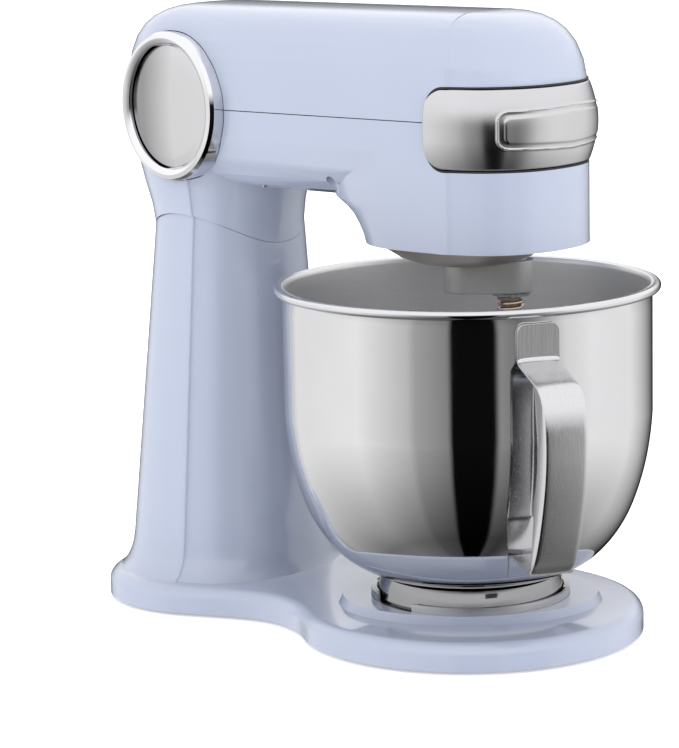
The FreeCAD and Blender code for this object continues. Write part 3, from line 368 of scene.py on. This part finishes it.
SLOT_MATERIALS = {
    "enamel": enamel, "chrome": chrome, "satin": satin, "bowl_steel": bowl_polish,
    "sheet_steel": handle_steel, "seat_steel": seat_steel, "steel": steel,
    "shaft_steel": shaft_steel, "cast_grey": cast_grey, "dish": dish_metal,
    "black_rubber": black_rubber, "dark_plastic": dark_plastic, "grey_plastic": grey_plastic,
    "dial_metal": knob_metal, "board_green": board_green, "bronze": bronze}
node_slots = {part["node"]: part["material_slot"] for part in frame["record"]["subparts"]}
node_body = {n: b for b, ns in frame["record"]["behaviour"]["bodies"].items() for n in ns}
# The bowl foot's low steel tone (0.30) is painted shade and dark reflection: a darkened copy of
# polished steel for the ring under the bowl.
OWN_FINISH = {"dial_plate": plate_satin,
              "bowl_foot": polished_material("foot_steel_painted_shade", (0.30, 0.30, 0.305), 0.09)}
OWN_MESH = ("bowl_shell", "bowl_handle", "beater_spring", "nose_band")
SHOWN = ("pedestal", "top_cover", "head_casting", "side_ring_right", "side_ring_left", "side_disc",
         "dial_plate", "speed_dial", "carrier_dish", "carrier_hub", "bowl_foot", "bowl_seat",
         "band_gasket", "release_lever", "beater_shaft", "beater_collar", "shaft_washer",
         "beater_pin", "cord_bush", "rubber_feet", "bottom_plate")
for node, obj in frame["nodes"].items():
    if node in OWN_MESH:
        continue
    finish = OWN_FINISH.get(node) or SLOT_MATERIALS[node_slots[node]]
    if node in SHOWN:
        smooth_copy(node, finish, node_body[node])
    else:
        obj.data.materials.clear()
        obj.data.materials.append(finish)


# ---- bowl ---------------------------------------------------------------------------------------
def make_bowl():
    """Turned bowl with a rolled rim: polished outside, brushed inside."""
    belly = [(47, 36.0), (62, 40.4), (73.5, 47.6), (83, 57.5), (91, 70.0), (97.3, 85.5),
             (102.5, 105.5), (105.5, 130), (105.5, 150)]
    curve = smooth_line([(30, 35.6)] + belly, 70)
    outside = [(0.01, 35.7), (15, 35.7)] + [(min(r, 105.5), z) for r, z in curve]
    outside += [(105.5, z) for z in (165, 180, 192, 198.8)] + [(105.7, 199.5)]
    bead = [(108.0 + 2.4 * math.cos(a), 202.2 + 2.4 * math.sin(a))
            for a in np.radians(np.linspace(-125, 115, 22))]
    points, faces = lathe(outside + bead + [(106.0, 204.4)], MIX_MM)
    mesh_piece("bowl_body", points, faces, bowl_polish, "bowl", ["bowl_shell"])
    inside = [(106.0, 204.4), (104.9, 204.1), (104.4, 203.2), (104.3, 201)]
    inside += [(104.3, z) for z in np.linspace(195, 150, 8)]
    inside += [(min(r, 105.5) - 1.1, z + 1.0 * min(1, (140 - z) / 60)) for r, z in curve[::-1]
               if z < 140]
    points, faces = lathe(inside + [(15, 36.9), (0.01, 36.9)], MIX_MM)
    mesh_piece("bowl_lining", points, faces, bowl_brushed, "bowl", [])


def make_handle():
    """Folded strip: welded tab, sloping shoulder, bowed grip with turned-in edges, foot tab."""
    out = Vector((-0.521, -0.854, 0)).normalized()
    across = Vector((-out.y, out.x, 0))
    half = 12.5
    spine = [(106.7, 178.5), (108.5, 175.9), (122, 171.0), (136.5, 165.7), (141.6, 160.5),
             (145.6, 148), (146.6, 133), (145.0, 117), (141.0, 100), (135.0, 82), (128.4, 68.5),
             (122.5, 61.6)]
    path = smooth_line(spine, 110)
    tangent = np.gradient(path, axis=0)
    tangent /= np.linalg.norm(tangent, axis=1)[:, None]
    inward = np.column_stack([tangent[:, 1], -tangent[:, 0]])
    inward *= np.sign(-inward[:, :1] - 1e-9)
    reach = np.linspace(0, 1, len(path))
    lip = 1.2 + 10.5 * np.sin(np.clip((reach - 0.30) / 0.68, 0, 1) * math.pi) ** 0.8
    rows = []
    for (r, z), n, depth in zip(path, inward, lip):
        round_r = 1.5
        section = [(-half + 1.4, depth), (-half, depth), (-half, round_r),
                   (-half + 0.45, 0.45), (-half + round_r, 0.0)]
        section += [(s, -0.25 * (1 - (s / half) ** 2)) for s in np.linspace(-half + 3, half - 3, 9)]
        section += [(half - round_r, 0.0), (half - 0.45, 0.45), (half, round_r), (half, depth),
                    (half - 1.4, depth), (half - 1.4, 2.4), (half - 2.4, 1.5),
                    (-half + 2.4, 1.5), (-half + 1.4, 2.4)]
        row = []
        for s, d in section:
            place = out * (r + n[0] * d) + across * s
            row.append((MIX_MM[0] + place.x, MIX_MM[1] + place.y, z + n[1] * d))
        rows.append(row)
    columns = len(rows[0])
    points = [p for row in rows for p in row]
    faces = grid_faces(len(rows), columns, wrap_columns=True)
    faces.append(tuple(range(columns))[::-1])
    faces.append(tuple((len(rows) - 1) * columns + i for i in range(columns)))
    grip = mesh_piece("handle_grip", points, faces, handle_steel, "bowl", ["bowl_handle"])

    def plate(name, outline, thickness, rise):
        """Welded tab: an outline of (side, height) pairs laid on the bowl's wall."""
        front, back = [], []
        for side, z in outline:
            r_wall = rise(z)
            front.append((side, r_wall + thickness, z))
            back.append((side, r_wall - 0.3, z))
        ring = [tuple(MIX_MM[i] + (out * r + across * s)[i] for i in (0, 1)) + (z,)
                for s, r, z in front + back]
        count = len(outline)
        sides = [(i, (i + 1) % count, count + (i + 1) % count, count + i) for i in range(count)]
        caps = [tuple(range(count))[::-1], tuple(range(count, 2 * count))]
        piece = mesh_piece(name, ring, sides + caps, handle_steel, "bowl", [])
        bevel = piece.modifiers.new("edge", "BEVEL")
        bevel.width = 0.0004
        bevel.segments = 2
        return piece

    corner = [(7.5 + 5 * math.cos(a), 191.5 + 5 * math.sin(a)) for a in
              np.radians(np.linspace(0, 90, 8))]
    outline = [(12.5, 177.0)] + corner + [(-s, z) for s, z in corner[::-1]] + [(-12.5, 177.0)]
    plate("handle_tab", outline, 1.7, lambda z: 105.5)

    def belly_r(z):
        return float(np.interp(z, [36, 40.4, 47.6, 57.5, 70, 85.5, 105.5, 130],
                               [47, 62, 73.5, 83, 91, 97.3, 102.5, 105.5]))
    foot_rows = []
    for t in np.linspace(0, 1, 26):
        r = 122.8 + (90.0 - 122.8) * t
        z = 61.4 + 3.0 * math.sin(t * math.pi * 0.5)
        foot_rows.append((r, z, half * (1 - 0.1 * t)))
    for t in np.linspace(0.06, 1, 16):
        z = 64.4 - 15.5 * t
        foot_rows.append((belly_r(z) + 0.9, z, half * (0.9 - 0.35 * t)))
    points, faces = [], []
    for r, z, wide in foot_rows:
        for s, lift in ((-wide, -0.8), (wide, -0.8), (wide, 0.8), (-wide, 0.8)):
            place = out * (r + (lift if z < 61 else 0)) + across * s
            points.append((MIX_MM[0] + place.x, MIX_MM[1] + place.y, z + (0 if z < 61 else lift)))
    faces = grid_faces(len(foot_rows), 4, wrap_columns=True)
    faces += [(0, 1, 2, 3), tuple(len(points) - 4 + i for i in range(4))[::-1]]
    mesh_piece("handle_foot", points, faces, handle_steel, "bowl", [])
    return grip


# ---- nose band --------------------------------------------------------------------------------
def nose_outline(count):
    """Left end, round the front, to the right end of the nose: points and outward normals."""
    half, front, ahead = 55.0, 57.0, -14.0
    power = 2.3
    a = np.linspace(0, math.pi, 1200)
    x = -half * np.sign(np.cos(a)) * np.abs(np.cos(a)) ** (2 / power)
    y = ahead - front * np.abs(np.sin(a)) ** (2 / power)
    keep = y <= -15.9
    x, y = x[keep], y[keep]
    run = np.concatenate([[0], np.cumsum(np.hypot(np.diff(x), np.diff(y)))])
    s = np.linspace(0, run[-1], count)
    xs, ys = np.interp(s, run, x), np.interp(s, run, y)
    tx, ty = np.gradient(xs), np.gradient(ys)
    size = np.hypot(tx, ty)
    return np.column_stack([xs, ys]), np.column_stack([ty, -tx]) / size[:, None], s - s.mean()


def band_relief(s, z, middle):
    """Height of the plain embossed panel: two outlines, one inside the other."""
    def outline(length, height, corner):
        dx = abs(s) - (length - corner)
        dz = abs(z - middle) - (height - corner)
        return math.hypot(max(dx, 0), max(dz, 0)) + min(max(dx, dz), 0) - corner
    swell = 1.8 * (1 - min(1, abs(s) / 47.0))
    outer = outline(47.0, 9.9 + swell, 5.5)
    inner = outline(43.3, 6.9 + swell, 3.2)
    ridge = 0.55 * math.exp(-(outer / 0.55) ** 2)
    pad = 0.45 / (1 + math.exp(min(40, max(-40, inner / 0.22))))
    return ridge + pad


def make_band():
    count, levels = 460, 90
    low_z, high_z, corner, crown = 275.0, 319.5, 11.0, 4.6
    middle, half = (low_z + high_z) / 2, (high_z - low_z) / 2
    plan, normal, s = nose_outline(count)
    end = s[-1]
    rows = []
    for (x, y), n, place in zip(plan, normal, s):
        near = max(0.0, corner - (end - abs(place)))
        cut = corner - math.sqrt(max(0.0, corner ** 2 - near ** 2))
        row = []
        for v in np.linspace(-1, 1, levels):
            z = middle + v * (half - cut)
            share = (z - middle) / half
            rim = min(1.0, (1 - abs(v)) / 0.03, (end - abs(place)) / 1.0)
            out = 0.1 + crown * (1 - share ** 2) + band_relief(place, z, middle)
            out -= 0.6 * (1 - max(0.0, rim)) ** 2
            row.append((MIX_MM[0] + x + n[0] * out, MIX_MM[1] + y + n[1] * out, z))
        for v in np.linspace(1, -1, levels):
            z = middle + v * (half - cut)
            row.append((MIX_MM[0] + x - n[0] * 0.9, MIX_MM[1] + y - n[1] * 0.9, z))
        rows.append(row)
    columns = 2 * levels
    points = [p for row in rows for p in row]
    faces = grid_faces(count, columns, wrap_columns=True)
    for first in (0, (count - 1) * columns):
        for j in range(levels - 1):
            a, b = first + j, first + j + 1
            c, d = first + columns - 2 - j, first + columns - 1 - j
            faces.append((a, b, c, d) if first == 0 else (d, c, b, a))
    band_metal = polished_material("band_metal", (0.62, 0.62, 0.625), 0.17, 0.06)
    mesh_piece("band_cover", points, faces, band_metal, "nose_cover", ["nose_band"])


def make_spring():
    """Coil spring between the washer and the collar."""
    turns, radius, wire = 5.6, 6.7, 1.15
    low_z, high_z = 177.8, 195.2
    a = np.linspace(0, turns * 2 * math.pi, int(turns * 28))
    path = np.column_stack([SHAFT_MM[0] + radius * np.cos(a), SHAFT_MM[1] + radius * np.sin(a),
                            np.linspace(low_z, high_z, len(a))])
    points, faces = tube_along(path, wire, 10)
    spring_steel = polished_material("spring_steel", (0.50, 0.40, 0.33), 0.2, 0.08)
    piece = mesh_piece("coil_spring", points, faces, spring_steel, "beater", ["beater_spring"])
    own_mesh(piece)


def make_numbers():
    """Plain speed numbers round the dial."""
    across = Vector((-DIAL_NORMAL.y, DIAL_NORMAL.x, 0))
    low_c, high_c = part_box("side_ring_left")
    ring_centre = (low_c + high_c) / 2
    centre = Vector((0.0525, MIX[1] + 0.178, ring_centre.z))
    ink = cast_material("print_black", (0.02, 0.02, 0.02), 0.0, 0.45)
    for index in range(13):
        angle = math.radians(225 - 270 * index / 12)
        text = bpy.data.curves.new("number", "FONT")
        text.body = str(index)
        text.size = 0.0062
        text.align_x = "CENTER"
        text.align_y = "CENTER"
        text.extrude = 0.00008
        shape = bpy.data.objects.new("number", text)
        bpy.context.scene.collection.objects.link(shape)
        place = centre + DIAL_NORMAL * 0.00108 + (across * math.cos(angle)
                                                 + Vector((0, 0, 1)) * math.sin(angle)) * 0.0272
        turn = Matrix((across, Vector((0, 0, 1)), DIAL_NORMAL)).transposed().to_4x4()
        shape.matrix_world = Matrix.Translation(place) @ turn
        bpy.context.view_layer.update()
        mesh = bpy.data.meshes.new_from_object(shape)
        mesh.transform(shape.matrix_world)
        bpy.data.objects.remove(shape)
        piece = bpy.data.objects.new("dial_number_" + str(index), mesh)
        bpy.context.scene.collection.objects.link(piece)
        mesh.materials.clear()
        mesh.materials.append(ink)
        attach(piece, "head")


make_bowl()
make_handle()
make_band()
make_spring()
make_numbers()


# ---- stage, light and camera --------------------------------------------------------------------
def make_floor():
    bpy.ops.mesh.primitive_plane_add(size=60, location=(0, 0, 0))
    floor = bpy.context.object
    floor.name = "floor"
    mat, shader = new_material("floor")
    coords = position(mat)
    tinted(mat, shader, noise(mat, coords, 2.0), (0.93, 0.93, 0.935), (0.955, 0.955, 0.96))
    shader.inputs["Roughness"].default_value = 0.5
    shader.inputs["Emission Color"].default_value = (1, 1, 1, 1)
    shader.inputs["Emission Strength"].default_value = 0.35
    floor.data.materials.append(mat)
    floor.visible_glossy = False        # polished parts reflect the studio walls instead


def make_light(name, place, target, size, power, tall=None):
    lamp = bpy.data.lights.new(name, "AREA")
    lamp.energy = power
    lamp.shape = "RECTANGLE"
    lamp.size = size
    lamp.size_y = tall or size
    obj = bpy.data.objects.new(name, lamp)
    bpy.context.scene.collection.objects.link(obj)
    obj.location = place
    obj.rotation_euler = (Vector(target) - Vector(place)).to_track_quat("-Z", "Y").to_euler()
    obj.visible_glossy = False
    return obj


# (degrees round from the camera, anticlockwise seen from above; brightness)
WORLD_WALLS = [(-166, 0.02), (-154, 0.35), (-136, 0.88), (-75, 0.97), (-55, 0.75), (-35, 0.42),
               (-15, 0.27), (-12, 0.004), (14, 0.004), (17, 0.30), (30, 0.20), (42, 0.35),
               (60, 0.80), (80, 0.95), (118, 0.9), (136, 0.55), (152, 0.2), (163, 0.02)]


def make_world():
    """Studio round the object: bright walls with a dark gap where the camera stands."""
    world = bpy.data.worlds.new("studio")
    bpy.context.scene.world = world
    world.use_nodes = True
    tree = world.node_tree
    tree.nodes.clear()
    coords = tree.nodes.new("ShaderNodeTexCoord")
    split = tree.nodes.new("ShaderNodeSeparateXYZ")
    tree.links.new(coords.outputs["Generated"], split.inputs[0])
    turn = tree.nodes.new("ShaderNodeMath")
    turn.operation = "ARCTAN2"
    tree.links.new(split.outputs["Y"], turn.inputs[0])
    tree.links.new(split.outputs["X"], turn.inputs[1])
    share = tree.nodes.new("ShaderNodeMapRange")
    share.inputs["From Min"].default_value = -math.pi
    share.inputs["From Max"].default_value = math.pi
    tree.links.new(turn.outputs[0], share.inputs["Value"])
    ramp = tree.nodes.new("ShaderNodeValToRGB")
    tree.links.new(share.outputs[0], ramp.inputs["Fac"])
    facing = math.degrees(math.atan2(-0.6331, -0.7529))      # azimuth of the camera
    stops = []
    for offset, level in WORLD_WALLS:
        place = (facing + offset + 180) / 360 % 1.0
        stops.append((place, level))
    stops.sort()
    wrap = (stops[0][1] + stops[-1][1]) / 2
    stops = [(0.0, wrap)] + stops + [(1.0, wrap)]
    while len(ramp.color_ramp.elements) < len(stops):
        ramp.color_ramp.elements.new(0.5)
    for element, (place, level) in zip(ramp.color_ramp.elements, stops):
        element.position = place
        element.color = (level, level, level, 1)
    rise = tree.nodes.new("ShaderNodeMapRange")
    rise.inputs["From Min"].default_value = 0.04
    rise.inputs["From Max"].default_value = 0.30
    tree.links.new(split.outputs["Z"], rise.inputs["Value"])
    ceiling = tree.nodes.new("ShaderNodeMix")
    ceiling.data_type = "RGBA"
    ceiling.inputs[7].default_value = (1.05, 1.05, 1.06, 1)
    tree.links.new(rise.outputs[0], ceiling.inputs[0])
    tree.links.new(ramp.outputs["Color"], ceiling.inputs[6])
    sink = tree.nodes.new("ShaderNodeMapRange")
    sink.inputs["From Min"].default_value = -0.85
    sink.inputs["From Max"].default_value = -0.30
    sink.inputs["To Min"].default_value = 0.22
    sink.inputs["To Max"].default_value = 1.15
    tree.links.new(split.outputs["Z"], sink.inputs["Value"])
    background = tree.nodes.new("ShaderNodeBackground")
    tree.links.new(sink.outputs[0], background.inputs["Strength"])
    tree.links.new(ceiling.outputs[2], background.inputs["Color"])
    out = tree.nodes.new("ShaderNodeOutputWorld")
    tree.links.new(background.outputs[0], out.inputs["Surface"])


def make_camera():
    camera = bpy.data.cameras.new("camera")
    camera.lens = 150.12
    camera.sensor_width = 36.0
    camera.clip_end = 100.0
    obj = bpy.data.objects.new("camera", camera)
    bpy.context.scene.collection.objects.link(obj)
    right = Vector((0.64078545, -0.76747351, -0.01945289))
    up = Vector((0.1503608, 0.10061211, 0.98349826))
    back = Vector((-0.75285167, -0.63313633, 0.17986871))
    place = Vector((-1393.225, -1133.836, 473.735)) * MM
    turn = Matrix((right, up, back)).transposed().to_4x4()
    obj.matrix_world = Matrix.Translation(place) @ turn
    bpy.context.scene.camera = obj


make_floor()
make_world()
make_light("key", (-1.8, 0.4, 1.2), (0, 0, 0.2), 1.0, 4)
make_light("front", (0.3, -2.0, 1.0), (0, 0, 0.2), 0.9, 7, 1.3)
make_light("top", (0.0, 0.0, 2.2), (0, 0, 0.2), 1.4, 6)
make_camera()
bpy.context.scene.view_settings.view_transform = "Standard"
